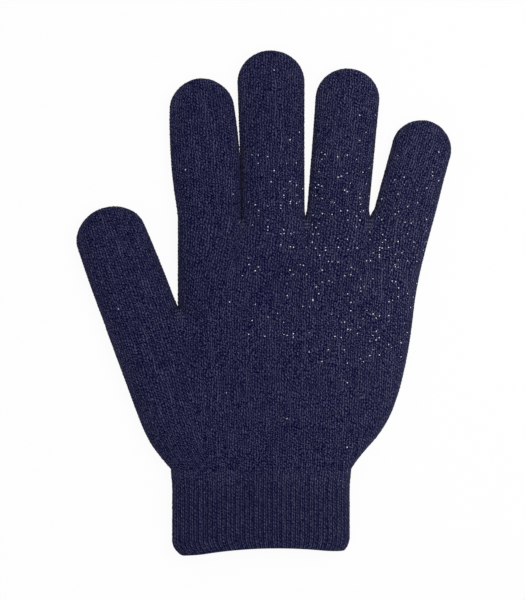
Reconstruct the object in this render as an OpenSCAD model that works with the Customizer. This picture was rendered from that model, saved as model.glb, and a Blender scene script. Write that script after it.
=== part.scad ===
// Knitted five-finger stretch glove, laid flat with the palm side up.
// The table is the plane z = 0, +Y runs to the fingertips and the thumb lies on the -X side.
// The origin is on the table under the middle of the glove's outline.

/* [Fabric] */
// Thickness of the knitted wall of the hand, the fingers and the thumb
knit_wall = 1.8; // [1.2:0.1:2.4]
// Thickness of the cuff's wall under the crests of its ribs
cuff_wall = 1.9; // [1.5:0.1:2.4]
// Clearance between two sections that fold against each other
fold_gap = 0.3; // [0.2:0.05:0.6]
// Clearance between two finger stalls that lie side by side
finger_gap = 0.5; // [0.3:0.05:1]
// Clearance between a thread or a binding and the fabric that carries it
seat_gap = 0.1; // [0.05:0.05:0.3]
// Height above the table of the fold along the glove's sides
side_height = 5; // [4:0.1:6]

/* [Hand] */
// Width of the hand at the wrist line, where the cuff begins
wrist_width = 77.8; // [72:0.1:84]
// Length from the wrist line to the thumb's crotch
thumb_crotch_length = 70.6; // [64:0.1:76]
// Length from the wrist line to the finger crotches
knuckle_length = 109.6; // [102:0.1:118]
// Distance from the wrist's middle to the hand's edge on the thumb's side
thumb_side = 35.9; // [32:0.1:38]
// Distance from the wrist's middle to the little finger's edge, level with the thumb's crotch
little_side = 67; // [63:0.1:70]
// Height of the hand and of the cuff above the table at the wrist line
wrist_loft = 12.4; // [11:0.1:13.5]
// Height of the hand and of the thumb above the table at the thumb's crotch
palm_loft = 13.8; // [12:0.1:16]
// Height of the hand above the table at the finger crotches
knuckle_loft = 12.2; // [11:0.1:14]
// Distance over which the hand rounds over towards its sides
palm_round = 15; // [11:0.5:20]
// Reach of the flare from the wrist on the thumb's side
thumb_flare = 17; // [8:0.5:18]
// Reach of the flare from the wrist on the little finger's side
little_flare = 31; // [16:0.5:32]
// Slope of both flares, measured from the glove's length
flare_angle = 46; // [30:1:55]
// Slope of the little finger's edge, level with the thumb's crotch
little_edge_angle = 6.5; // [3:0.5:12]
// Length of the hand's edge that runs on in line with the thumb
thumb_edge_run = 31.5; // [20:0.5:34]
// Length of the hand's edge that runs on below the little finger's side
little_edge_run = 29; // [20:0.5:34]

/* [Index finger] */
// Length of the index finger from its crotch to its tip
index_length = 60.6; // [52:0.1:68]
// Width of the index finger along the knuckle line
index_mouth = 27.6; // [25:0.1:31]
// Width of the index finger half way up
index_width = 29.8; // [26:0.1:30]
// Width of the index finger where its tip begins to round
index_tip_width = 25; // [24:0.1:29]
// Lean of the index finger, positive away from the thumb
index_lean = -4.1; // [-8:0.1:-4]

/* [Middle finger] */
// Length of the middle finger from its crotch to its tip
middle_length = 72.6; // [64:0.1:80]
// Width of the middle finger along the knuckle line
middle_mouth = 28; // [25:0.1:31]
// Width of the middle finger half way up
middle_width = 27.8; // [24:0.1:28]
// Width of the middle finger where its tip begins to round
middle_tip_width = 29.8; // [25:0.1:30]
// Lean of the middle finger, positive away from the thumb
middle_lean = -0.5; // [-0.6:0.1:1]

/* [Ring finger] */
// Length of the ring finger from its crotch to its tip
ring_length = 64.9; // [57:0.1:73]
// Width of the ring finger along the knuckle line
ring_mouth = 28.1; // [25:0.1:31]
// Width of the ring finger half way up
ring_width = 27.8; // [24:0.1:28.5]
// Width of the ring finger where its tip begins to round
ring_tip_width = 28.7; // [24:0.1:29]
// Lean of the ring finger, positive away from the thumb
ring_lean = 4.7; // [3:0.1:7]

/* [Little finger] */
// Length of the little finger from its crotch to its tip
little_length = 43.3; // [39:0.1:50]
// Width of the little finger along the knuckle line
little_mouth = 28; // [25:0.1:31]
// Width of the little finger half way up
little_width = 26.3; // [23:0.1:27]
// Width of the little finger where its tip begins to round
little_tip_width = 26.8; // [22:0.1:27]
// Lean of the little finger, positive away from the thumb
little_lean = 16.1; // [12:0.1:18]

/* [Thumb] */
// Length of the thumb from its crotch to its tip
thumb_length = 51.8; // [44:0.1:58]
// Width of the thumb along its base line
thumb_mouth = 32.7; // [29:0.1:35]
// Width of the thumb half way up
thumb_width = 31.8; // [28:0.1:34]
// Width of the thumb where its tip begins to round
thumb_tip_width = 29.3; // [27:0.1:33]
// Lean of the thumb away from the fingers
thumb_lean = 20.8; // [16:0.1:26]

/* [Fingertips and bends] */
// Height of every tip above the table where it begins to round
tip_loft = 10.8; // [9.5:0.1:12]
// Length of a fingertip's rounding for each unit of its half width
tip_roundness = 0.96; // [0.7:0.02:1]
// Length of the thumb tip's rounding for each unit of its half width
thumb_roundness = 0.84; // [0.7:0.02:1]
// Share of a finger's length at which its first bend lies
first_bend = 0.36; // [0.3:0.01:0.42]
// Share of a finger's length at which its second bend lies
second_bend = 0.66; // [0.6:0.01:0.68]
// Share of the thumb's length at which its bend lies
thumb_bend = 0.48; // [0.4:0.01:0.56]

/* [Cuff] */
// Length of the ribbed cuff along its sides, with its bound edge
cuff_length = 38.8; // [30:0.1:46]
// Width of the cuff below the wrist line
cuff_width = 76.5; // [70:0.1:83]
// Distance over which the cuff rounds over towards its sides
cuff_round = 9; // [6:0.5:12]
// Distance by which the cuff draws in at each corner of its edge
cuff_corner = 2.8; // [0:0.1:3]
// Rise of the cuff's edge between its two corners
hem_arch = 3.1; // [0:0.1:5]
// Drop of the edge's thumb-side corner below the other corner
hem_slant = 2.4; // [0:0.1:3]
// Number of ribs round the cuff
rib_count = 76; // [60:2:90]
// Height of a rib's crest over the groove beside it
rib_height = 0.7; // [0.4:0.05:1]
// Length of the bound edge at the cuff's mouth
edge_length = 2.4; // [1.6:0.1:3.4]
// Thickness that the bound edge has over the cuff's wall
edge_roll = 0.5; // [0.2:0.1:0.8]
// Number of elastic threads laid round the cuff's inside
elastic_count = 5; // [3:1:7]
// Diameter of an elastic thread
elastic_d = 0.6; // [0.4:0.05:0.8]

/* [Crotch stitches] */
// Number of yarn strands sewn over each crotch
stitch_count = 3; // [2:1:4]
// Diameter of a strand
stitch_d = 1; // [0.7:0.05:1.2]
// Distance that a strand reaches to each side of its crotch
stitch_reach = 3.6; // [2.5:0.1:5]
// Distance between two strands, and from the crotch to the first of them
stitch_pitch = 1.5; // [1.3:0.05:1.8]

/* [Hidden] */

NAVY = [0.145, 0.145, 0.25];
DEEP_NAVY = [0.11, 0.11, 0.21];
RUBBER = [0.08, 0.08, 0.12];

// Shape of the fabric's crown over the hand and of the belly that lies on the table
crown_power = 2.3;
belly_power = 4;
// Depth to which the belly is pressed flat by the table
belly_press = 0.25;
// Share of the fabric's height that dips away between two fingers at their crotch
dip_depth = 0.75;
// Half height of the slot that stays open inside where the fabric dips
slot_half = 0.3;

// Points round a finger and columns across one finger's share of the palm
finger_sides = 20;
palm_columns = 6;
lower_palm_rows = 7;
upper_palm_rows = 5;
dome_rings = 5;
points_per_rib = 2;
elastic_sides = 4;
elastic_points = 48;
strand_sides = 6;
strand_points = 13;

mouths = [index_mouth, middle_mouth, ring_mouth, little_mouth];
widths = [index_width, middle_width, ring_width, little_width];
tip_widths = [index_tip_width, middle_tip_width, ring_tip_width, little_tip_width];
lengths = [index_length, middle_length, ring_length, little_length];
leans = [index_lean, middle_lean, ring_lean, little_lean];
knuckle_width = mouths * [1, 1, 1, 1];

function sum_before(list, i) = i == 0 ? 0 : list[i - 1] + sum_before(list, i - 1);
function lerp(a, b, t) = a + (b - a) * t;
function unit(v) = v / norm(v);
function ease(t) = let (c = max(0, min(1, t))) c * c * (3 - 2 * c);
function bezier(p, t) = p[0] * pow(1 - t, 3) + 3 * p[1] * pow(1 - t, 2) * t
    + 3 * p[2] * (1 - t) * pow(t, 2) + p[3] * pow(t, 3);
// Direction in the plane of the table, turned from +Y towards +X
function heading(angle) = [sin(angle), cos(angle)];

// Places in the hand's own plane, with the wrist line's middle at [0, 0]
thumb_crotch = [-thumb_side, thumb_crotch_length];
thumb_across = [cos(thumb_lean), sin(thumb_lean)];
thumb_root = thumb_crotch - thumb_across * thumb_mouth / 2;
thumb_outer = thumb_crotch - thumb_across * thumb_mouth;
little_level = [little_side, thumb_crotch_length];
knuckle_end = [knuckle_width - thumb_side, knuckle_length];
wrist_thumb_end = [-wrist_width / 2, 0];
wrist_little_end = [wrist_width / 2, 0];
// The thumb's fabric takes its share of the wrist line
thumb_share = thumb_mouth / (thumb_mouth + knuckle_width);
wrist_divide = lerp(wrist_thumb_end, wrist_little_end, thumb_share);

// Middle of the glove's outline, which is carried to the origin
thumb_dome = thumb_roundness * thumb_tip_width / 2;
little_dome = tip_roundness * little_tip_width / 2;
thumb_dome_centre = thumb_root + heading(-thumb_lean) * (thumb_length - thumb_dome);
little_root = [sum_before(mouths, 3) + little_mouth / 2 - thumb_side, knuckle_length];
little_dome_centre = little_root + heading(little_lean) * (little_length - little_dome);
// Reach of a leaning, rounded tip to one side of its dome's centre
function side_reach(half, dome, lean) = norm([half * cos(lean), dome * sin(lean)]);
outline_left = thumb_dome_centre[0] - side_reach(thumb_tip_width / 2, thumb_dome, thumb_lean);
outline_right = little_dome_centre[0]
    + side_reach((little_tip_width - finger_gap) / 2, little_dome, little_lean);
outline_top = knuckle_length + middle_length * cos(middle_lean);
outline_bottom = cuff_y(1, cuff_corner - cuff_width / 2);
outline_middle = [(outline_left + outline_right) / 2, (outline_top + outline_bottom) / 2, 0];

module placed() { translate(-outline_middle) children(); }

// How full the fabric stands at distance d from a fold that rounds over the distance reach
function fullness(d, reach, power) =
    d >= reach ? 1 : pow(1 - pow(1 - max(0, d) / reach, power), 1 / power);

// Height of the upper and the lower face, where full is 0 at a side fold and 1 in the open
function upper_z(full, top, wall) = side_height + (full <= 0 ? 0
    : max(wall > 0 ? slot_half : 0, (top - side_height) * full - wall));
function lower_z(full, swell, wall) = side_height - (full <= 0 ? 0
    : max(wall > 0 ? slot_half : 0,
        min(side_height * swell, (side_height + belly_press) * swell * full) - wall));

// Closed skin round a stack of outer rings and a stack of inner rings with equal counts.
// A stack that is closed ends in a single point, given for each of the two skins.
module shell(outer, inner, outer_end = undef, inner_end = undef) {
    rings = len(outer);
    sides = len(outer[0]);
    inner_start = rings * sides;
    ends_start = 2 * rings * sides;
    closed = !is_undef(outer_end);
    function at(r, s) = r * sides + s % sides;
    skin = [for (r = [0:rings - 2], s = [0:sides - 1], half = [0, 1]) half == 0
        ? [at(r, s), at(r + 1, s), at(r + 1, s + 1)]
        : [at(r, s), at(r + 1, s + 1), at(r, s + 1)]];
    lining = [for (f = skin) [f[0] + inner_start, f[2] + inner_start, f[1] + inner_start]];
    mouth_rim = [for (s = [0:sides - 1], half = [0, 1]) half == 0
        ? [at(0, s), at(0, s + 1), inner_start + at(0, s + 1)]
        : [at(0, s), inner_start + at(0, s + 1), inner_start + at(0, s)]];
    last = rings - 1;
    far_rim = [for (s = [0:sides - 1], half = [0, 1]) half == 0
        ? [at(last, s), inner_start + at(last, s + 1), at(last, s + 1)]
        : [at(last, s), inner_start + at(last, s), inner_start + at(last, s + 1)]];
    caps = [for (s = [0:sides - 1], half = [0, 1]) half == 0
        ? [at(last, s), ends_start, at(last, s + 1)]
        : [inner_start + at(last, s), inner_start + at(last, s + 1), ends_start + 1]];
    polyhedron(
        points = concat([for (ring = outer, p = ring) p], [for (ring = inner, p = ring) p],
            closed ? [outer_end, inner_end] : []),
        faces = concat(skin, lining, mouth_rim, closed ? caps : far_rim),
        convexity = 6);
}

// Round tube along a path, closed at its ends or joined end to end
module strand(path, d, sides, joined = false) {
    count = len(path);
    function along(i) = unit(joined
        ? path[(i + 1) % count] - path[(i + count - 1) % count]
        : path[min(i + 1, count - 1)] - path[max(i - 1, 0)]);
    rings = [for (i = [0:count - 1]) let (
        t = along(i),
        up = unit([0, 1, 0] - t * t[1]),
        across = cross(t, up))
        [for (s = [0:sides - 1]) let (turn = 360 * s / sides)
            path[i] + d / 2 * (across * cos(turn) + up * sin(turn))]];
    function at(r, s) = (r % count) * sides + s % sides;
    spans = joined ? count - 1 : count - 2;
    walls = [for (r = [0:spans], s = [0:sides - 1], half = [0, 1]) half == 0
        ? [at(r, s), at(r + 1, s + 1), at(r + 1, s)]
        : [at(r, s), at(r, s + 1), at(r + 1, s + 1)]];
    ends = joined ? [] : [[for (s = [sides - 1:-1:0]) at(0, s)], [for (s = [0:sides - 1]) at(count - 1, s)]];
    polyhedron(points = [for (ring = rings, p = ring) p], faces = concat(walls, ends), convexity = 4);
}

// Stall data: root, lean, length, widths at the mouth, half way and at the tip,
// direction of the mouth, height at the mouth and roundness of the tip
function finger(i) = [
    [sum_before(mouths, i) + mouths[i] / 2 - thumb_side, knuckle_length],
    leans[i], lengths[i],
    mouths[i] - finger_gap, widths[i] - finger_gap, tip_widths[i] - finger_gap,
    [1, 0], knuckle_loft, tip_roundness
];
thumb = [
    thumb_root, -thumb_lean, thumb_length,
    thumb_mouth - finger_gap, thumb_width, thumb_tip_width,
    thumb_across, palm_loft, thumb_roundness
];

// Half width of a stall at a share s of its length, along a curve through its three widths
function half_width(stall, s) = (stall[3] * (1 - s) * (1 - 2 * s) + stall[4] * 4 * s * (1 - s)
    + stall[5] * s * (2 * s - 1)) / 2;
function dome_length(stall) = stall[8] * stall[5] / 2;

// One ring round a stall: distance along it, share of its width and height that is left, wall taken off
function stall_ring(stall, t, left = 1, wall = 0) =
    let (
        s = t / stall[2],
        across = unit(lerp(stall[6], [cos(stall[1]), -sin(stall[1])], min(1, s / first_bend))),
        half = (half_width(stall, min(s, 1)) - wall) * left,
        top = lerp(stall[7], tip_loft, min(s, 1)),
        centre = stall[0] + heading(stall[1]) * t)
    [for (k = [0:finger_sides - 1]) let (
        a = 180 - 360 * k / finger_sides,
        u = cos(a),
        p = centre + across * half * u,
        edge = 1 - abs(u),
        z = a >= 0
            ? upper_z(fullness(edge, 1, crown_power) * sqrt(left), top, wall * sqrt(left))
            : lower_z(fullness(edge, 1, belly_power), sqrt(left), wall * sqrt(left)))
        [p[0], p[1], edge < 0.0001 ? side_height : z]];

// Part of a stall between two distances along it
module stall_section(stall, from, to, rings = 2) {
    stops = [for (r = [0:rings - 1]) lerp(from, to, r / (rings - 1))];
    shell([for (t = stops) stall_ring(stall, t)], [for (t = stops) stall_ring(stall, t, 1, knit_wall)]);
}

// Rounded, closed end of a stall
module stall_tip(stall, from) {
    dome = dome_length(stall);
    shoulder = stall[2] - dome;
    turns = [for (r = [0:dome_rings - 1]) 90 * r / dome_rings];
    end = stall[0] + heading(stall[1]) * stall[2];
    inner_end = stall[0] + heading(stall[1]) * (stall[2] - knit_wall);
    shell(
        concat([stall_ring(stall, from)],
            [for (a = turns) stall_ring(stall, shoulder + dome * sin(a), cos(a))]),
        concat([stall_ring(stall, from, 1, knit_wall)],
            [for (a = turns) stall_ring(stall, shoulder + (dome - knit_wall) * sin(a), cos(a), knit_wall)]),
        [end[0], end[1], side_height],
        [inner_end[0], inner_end[1], side_height]);
}

module finger_base(i) {
    stall = finger(i);
    stall_section(stall, fold_gap / 2, first_bend * stall[2] - fold_gap / 2, 3);
}

module finger_middle(i) {
    stall = finger(i);
    stall_section(stall, first_bend * stall[2] + fold_gap / 2, second_bend * stall[2] - fold_gap / 2);
}

module finger_tip(i) {
    stall = finger(i);
    stall_tip(stall, second_bend * stall[2] + fold_gap / 2);
}

// Share of a finger's width at a column, packed closer towards its two sides
function column_share(c) = (1 - cos(180 * c / palm_columns)) / 2;
// Share of the knuckle line at a column counted from the index finger's side
function knuckle_share(c) = let (g = min(3, floor(c / palm_columns)))
    (sum_before(mouths, g) + mouths[g] * column_share(c - g * palm_columns)) / knuckle_width;

// One ring round the palm, from its columns' places, and how full each column stands
function palm_ring(places, full_top, full_low, top, wall) =
    let (last = len(places) - 1)
    concat(
        [for (c = [0:last]) [places[c][0], places[c][1],
            c == 0 || c == last ? side_height : upper_z(full_top[c], top, wall)]],
        [for (c = [last - 1:-1:1]) [places[c][0], places[c][1], lower_z(full_low[c], 1, wall)]]);

// Fullness along a row of places: it falls off at both ends and dips at the given columns
function row_fullness(places, dips, depth, power) =
    let (last = len(places) - 1)
    [for (c = [0:last]) let (
        p = places[c],
        ends = fullness(norm(p - places[0]), palm_round, power)
            * fullness(norm(p - places[last]), palm_round, power),
        kept = [for (d = dips) 1 - depth * (1 - fullness(norm(p - places[d]), palm_round, power))])
        ends * (len(kept) == 0 ? 1 : min(kept))];

function palm_row_ring(places, dips, depth, top, wall) = palm_ring(places,
    row_fullness(places, dips, depth, crown_power),
    row_fullness(places, dips, depth, belly_power), top, wall);

// Columns' places along a row of the lower palm, where r runs from the wrist line to the crotch
left_edge = [wrist_thumb_end, wrist_thumb_end + [-sin(flare_angle), cos(flare_angle)] * thumb_flare,
    thumb_outer - heading(-thumb_lean) * thumb_edge_run, thumb_outer];
right_edge = [wrist_little_end, wrist_little_end + heading(flare_angle) * little_flare,
    little_level - heading(little_edge_angle) * little_edge_run, little_level];
function lower_row(r, inset) =
    let (
        divide = lerp(wrist_divide, thumb_crotch, r),
        left = bezier(left_edge, r),
        right = bezier(right_edge, r),
        left_in = left + unit(divide - left) * inset,
        right_in = right + unit(divide - right) * inset)
    concat(
        [for (c = [0:palm_columns - 1]) lerp(left_in, divide, column_share(c))],
        [for (c = [0:4 * palm_columns]) lerp(divide, right_in, knuckle_share(c))]);

function lower_ring(r, wall) = palm_row_ring(lower_row(r, wall), [palm_columns],
    dip_depth * ease((r - 0.5) / 0.5), lerp(wrist_loft, palm_loft, ease(1.3 * r)), wall);

// Columns' places along a row of the upper palm, where r runs from the thumb's crotch to the knuckle line
upper_run = (knuckle_length - thumb_crotch_length) / 3;
upper_edge = [little_level, little_level + heading(little_edge_angle) * upper_run,
    knuckle_end - heading(little_lean) * upper_run, knuckle_end];
function upper_row(r, inset) =
    let (
        y = lerp(thumb_crotch_length, knuckle_length - fold_gap / 2, r),
        left = [-thumb_side + inset, y],
        right = [bezier(upper_edge, r)[0] - inset, y])
    [for (c = [0:4 * palm_columns]) lerp(left, right, knuckle_share(c))];

finger_dips = [for (i = [1:3]) i * palm_columns];
function upper_dip(r) = dip_depth * ease((r - 0.4) / 0.6);
function upper_top(r) = lerp(palm_loft, knuckle_loft, ease(r));
function upper_ring(r, wall) =
    palm_row_ring(upper_row(r, wall), finger_dips, upper_dip(r), upper_top(r), wall);

function lower_rings_at(wall) = [for (j = [0:lower_palm_rows]) lower_ring(j / lower_palm_rows, wall)];
function upper_rings_at(wall) = [for (j = [0:upper_palm_rows]) upper_ring(j / upper_palm_rows, wall)];
lower_rings = lower_rings_at(0);
upper_rings = upper_rings_at(0);

module lower_palm() { color(NAVY) placed() shell(lower_rings, lower_rings_at(knit_wall)); }

module upper_palm() { color(NAVY) placed() shell(upper_rings, upper_rings_at(knit_wall)); }

module index_finger_base() { color(NAVY) placed() finger_base(0); }
module index_finger_middle() { color(NAVY) placed() finger_middle(0); }
module index_finger_tip() { color(NAVY) placed() finger_tip(0); }
module middle_finger_base() { color(NAVY) placed() finger_base(1); }
module middle_finger_middle() { color(NAVY) placed() finger_middle(1); }
module middle_finger_tip() { color(NAVY) placed() finger_tip(1); }
module ring_finger_base() { color(NAVY) placed() finger_base(2); }
module ring_finger_middle() { color(NAVY) placed() finger_middle(2); }
module ring_finger_tip() { color(NAVY) placed() finger_tip(2); }
module little_finger_base() { color(NAVY) placed() finger_base(3); }
module little_finger_middle() { color(NAVY) placed() finger_middle(3); }
module little_finger_tip() { color(NAVY) placed() finger_tip(3); }

module thumb_base() {
    color(NAVY) placed() stall_section(thumb, fold_gap / 2, thumb_bend * thumb_length - fold_gap / 2, 3);
}

module thumb_tip() { color(NAVY) placed() stall_tip(thumb, thumb_bend * thumb_length + fold_gap / 2); }

// Outline of the cuff's cross-section as [x, z], its running length, and points at even spacing on it
oval_steps = 120;
function cuff_oval(half, top, low, reach) = [for (k = [0:oval_steps - 1]) let (
    a = 180 - 360 * k / oval_steps,
    u = cos(a),
    d = half * (1 - abs(u)))
    [half * u, a >= 0
        ? side_height + (top - side_height) * fullness(d, reach, crown_power)
        : side_height - (side_height - low) * fullness(d, reach, crown_power)]];
function running(oval) = [for (k = 0, s = 0; k <= oval_steps;
    s = s + norm(oval[(k + 1) % oval_steps] - oval[k % oval_steps]), k = k + 1) s];
function even_points(oval, count) =
    let (
        lengths_to = running(oval),
        x_table = [for (k = [0:oval_steps]) [lengths_to[k], oval[k % oval_steps][0]]],
        z_table = [for (k = [0:oval_steps]) [lengths_to[k], oval[k % oval_steps][1]]],
        total = lengths_to[oval_steps])
    [for (k = [0:count - 1]) let (s = total * k / count) [lookup(s, x_table), lookup(s, z_table)]];
// Points moved out of a closed [x, z] outline by a distance that each point is given
function pushed_out(points, distances) = let (n = len(points))
    [for (k = [0:n - 1]) let (t = unit(points[(k + 1) % n] - points[(k + n - 1) % n]))
        points[k] + [-t[1], t[0]] * distances[k]];

// Share of the cuff's length, from the wrist line to its edge, and the place of a ring's point along it
function cuff_half(share) = share < 0.2 ? lerp(wrist_width, cuff_width, ease(share / 0.2)) / 2
    : cuff_width / 2 - cuff_corner * pow(max(0, share - 0.8) / 0.2, 2);
function cuff_y(share, x) = let (u = 2 * x / cuff_width)
    -fold_gap / 2 - share * (cuff_length - fold_gap / 2
        - hem_arch * max(0, 1 - u * u) - hem_slant * (1 + u) / 2);
function in_cuff(points, share) = [for (p = points) [p[0], cuff_y(share, p[0]), p[1]]];

rib_points = rib_count * points_per_rib;
crests = [for (k = [0:rib_points - 1]) k % points_per_rib == 0 ? 0 : rib_height];
function cuff_outline(share, inset, count) =
    even_points(cuff_oval(cuff_half(share) - inset, wrist_loft - inset, inset, cuff_round), count);
// Room under the crests, so that the ribs stay within the cuff's own size
function ribbed_ring(share) = in_cuff(pushed_out(cuff_outline(share, rib_height, rib_points), crests), share);
function lining_ring(share) = in_cuff(cuff_outline(share, rib_height + cuff_wall, rib_points), share);

edge_share = 1 - edge_length / cuff_length;
cuff_end_share = edge_share - seat_gap / cuff_length;

module ribbed_cuff() {
    stops = [0, 0.1, 0.2, 0.5, 0.8, cuff_end_share];
    color(NAVY) placed() shell(
        [for (s = stops) turned(ribbed_ring(s))],
        [for (s = stops) turned(lining_ring(s))]);
}

// The cuff's rings run towards -Y, so their points are taken the other way round
function turned(ring) = [for (k = [len(ring) - 1:-1:0]) ring[k]];

module cuff_edge_binding() {
    stops = [0, 0.35, 0.75, 1];
    rolls = [0, 1, 0.8, -0.6];
    points = rib_count / 2;
    function ring(i, inset) = let (share = lerp(edge_share, 1, stops[i]))
        turned(in_cuff(cuff_outline(share, inset, points), share));
    color(DEEP_NAVY) placed() shell(
        [for (i = [0:3]) ring(i, rib_height - edge_roll * rolls[i] / 2)],
        [for (i = [0:3]) ring(i, rib_height + cuff_wall + edge_roll * rolls[i] / 2)]);
}

module cuff_elastic_threads() {
    inset = rib_height + cuff_wall + seat_gap + elastic_d / 2;
    color(RUBBER) placed() for (k = [1:elastic_count]) {
        share = cuff_end_share * k / (elastic_count + 1);
        strand(in_cuff(cuff_outline(share, inset, elastic_points), share), elastic_d, elastic_sides, true);
    }
}

// Points across the upper face of a palm at a share r of its rows, on the facets between two rows
function facet_row(rings, last, r) =
    let (rows = len(rings) - 1, j = min(rows - 1, floor(r * rows)), f = r * rows - j)
    [for (c = [0:last]) lerp(rings[j][c], rings[j + 1][c], f)];

// Strands sewn over the crotch at the end of a palm's column: each stands on the fabric that it crosses.
// The palm falls away towards a crotch, so its height is read at the strand's higher side.
module crotch_strands(rings, last, column, run) {
    radius = stitch_d / 2;
    for (k = [1:stitch_count]) {
        row = facet_row(rings, last, 1 - k * stitch_pitch / run);
        high_row = facet_row(rings, last, 1 - (k * stitch_pitch + radius) / run);
        shift = row[column][0] - high_row[column][0];
        y_table = [for (p = row) [p[0], p[1]]];
        z_table = [for (p = high_row) [p[0] + shift, p[2]]];
        strand([for (p = [0:strand_points - 1]) let (
            share = 2 * p / (strand_points - 1) - 1,
            x = row[column][0] + stitch_reach * share,
            z = lookup(x, z_table),
            slope = (lookup(x + (share < 0 ? -radius : radius), z_table) - z) / radius)
            [x, lookup(x, y_table), z + (radius + seat_gap) * norm([1, slope])]],
            stitch_d, strand_sides);
    }
}

module finger_crotch_stitches(i) {
    crotch_strands(upper_rings, 4 * palm_columns, i * palm_columns,
        knuckle_length - fold_gap / 2 - thumb_crotch_length);
}

module index_middle_crotch_stitches() { color(DEEP_NAVY) placed() finger_crotch_stitches(1); }
module middle_ring_crotch_stitches() { color(DEEP_NAVY) placed() finger_crotch_stitches(2); }
module ring_little_crotch_stitches() { color(DEEP_NAVY) placed() finger_crotch_stitches(3); }

module thumb_crotch_stitches() {
    color(DEEP_NAVY) placed()
        crotch_strands(lower_rings, 5 * palm_columns, palm_columns, norm(thumb_crotch - wrist_divide));
}

lower_palm();
upper_palm();
index_finger_base();
index_finger_middle();
index_finger_tip();
middle_finger_base();
middle_finger_middle();
middle_finger_tip();
ring_finger_base();
ring_finger_middle();
ring_finger_tip();
little_finger_base();
little_finger_middle();
little_finger_tip();
thumb_base();
thumb_tip();
ribbed_cuff();
cuff_edge_binding();
cuff_elastic_threads();
index_middle_crotch_stitches();
middle_ring_crotch_stitches();
ring_little_crotch_stitches();
thumb_crotch_stitches();
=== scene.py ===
"""Knitted navy stretch glove, laid flat with its palm side up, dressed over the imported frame."""

import math

import bmesh
import bpy
import numpy as np
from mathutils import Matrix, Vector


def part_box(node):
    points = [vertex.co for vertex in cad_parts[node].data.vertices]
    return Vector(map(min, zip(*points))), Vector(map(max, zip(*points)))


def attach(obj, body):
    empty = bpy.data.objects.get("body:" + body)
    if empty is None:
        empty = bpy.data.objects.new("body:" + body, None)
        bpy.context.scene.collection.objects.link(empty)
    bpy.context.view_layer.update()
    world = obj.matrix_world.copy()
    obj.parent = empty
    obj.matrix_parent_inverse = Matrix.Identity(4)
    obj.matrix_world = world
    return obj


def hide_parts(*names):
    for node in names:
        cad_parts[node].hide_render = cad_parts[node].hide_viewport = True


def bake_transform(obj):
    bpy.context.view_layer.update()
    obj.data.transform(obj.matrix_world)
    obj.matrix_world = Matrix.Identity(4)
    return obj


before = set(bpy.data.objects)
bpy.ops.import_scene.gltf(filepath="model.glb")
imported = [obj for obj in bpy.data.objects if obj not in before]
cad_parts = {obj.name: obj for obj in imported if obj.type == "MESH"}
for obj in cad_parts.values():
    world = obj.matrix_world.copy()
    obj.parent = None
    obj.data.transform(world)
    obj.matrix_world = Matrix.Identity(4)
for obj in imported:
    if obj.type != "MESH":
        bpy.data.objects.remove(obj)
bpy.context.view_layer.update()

# The table and the view: a white table, seen from straight above through a long lens.
# The sky is soft and even, and one broad lamp at the right models the stitches. The camera sees
# a share of the table as plain white, and the rest of it is lit and holds the glove's shadow.
TABLE_WHITENESS = 0.94
scene = bpy.context.scene
scene.view_settings.view_transform = "Standard"
camera = bpy.data.objects.new("overhead_camera", bpy.data.cameras.new("overhead_camera"))
camera.data.lens = 100
camera.data.sensor_width = 36
camera.location = (-0.0009, 0.0016, 0.7311)
scene.collection.objects.link(camera)
scene.camera = camera

lamp_data = bpy.data.lights.new("soft_box", "AREA")
lamp_data.shape = "DISK"
lamp_data.size = 0.3
lamp_data.energy = 1.1
lamp = bpy.data.objects.new("soft_box", lamp_data)
lamp.location = (0.18, 0.05, 0.46)
lamp.rotation_euler = (-lamp.location).to_track_quat("-Z", "Y").to_euler()
scene.collection.objects.link(lamp)

sky = bpy.data.worlds.new("even_sky")
sky.use_nodes = True
scene.world = sky
sky_nodes = sky.node_tree.nodes
sky_links = sky.node_tree.links
sky_light = sky_nodes["Background"]
sky_light.inputs["Color"].default_value = (1, 1, 1, 1)
sky_light.inputs["Strength"].default_value = 0.57
sky_seen = sky_nodes.new("ShaderNodeBackground")
sky_seen.inputs["Color"].default_value = (1, 1, 1, 1)
sky_path = sky_nodes.new("ShaderNodeLightPath")
sky_mix = sky_nodes.new("ShaderNodeMixShader")
sky_links.new(sky_path.outputs["Is Camera Ray"], sky_mix.inputs["Fac"])
sky_links.new(sky_light.outputs["Background"], sky_mix.inputs[1])
sky_links.new(sky_seen.outputs["Background"], sky_mix.inputs[2])
sky_links.new(sky_mix.outputs["Shader"], sky_nodes["World Output"].inputs["Surface"])

table_mesh = bpy.data.meshes.new("table")
table_form = bmesh.new()
bmesh.ops.create_grid(table_form, x_segments=1, y_segments=1, size=4)
table_form.to_mesh(table_mesh)
table_form.free()
table = bpy.data.objects.new("table", table_mesh)
scene.collection.objects.link(table)
table_finish = bpy.data.materials.new("white_table")
table_finish.use_nodes = True
table_nodes = table_finish.node_tree.nodes
table_links = table_finish.node_tree.links
table_paint = table_nodes["Principled BSDF"]
table_paint.inputs["Base Color"].default_value = (0.9, 0.9, 0.9, 1)
table_paint.inputs["Roughness"].default_value = 0.9
table_glow = table_nodes.new("ShaderNodeEmission")
table_path = table_nodes.new("ShaderNodeLightPath")
table_share = table_nodes.new("ShaderNodeMath")
table_share.operation = "MULTIPLY"
table_share.inputs[1].default_value = TABLE_WHITENESS
table_mix = table_nodes.new("ShaderNodeMixShader")
table_links.new(table_path.outputs["Is Camera Ray"], table_share.inputs[0])
table_links.new(table_share.outputs["Value"], table_mix.inputs["Fac"])
table_links.new(table_paint.outputs["BSDF"], table_mix.inputs[1])
table_links.new(table_glow.outputs["Emission"], table_mix.inputs[2])
table_links.new(table_mix.outputs["Shader"], table_nodes["Material Output"].inputs["Surface"])
table_mesh.materials.append(table_finish)

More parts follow.
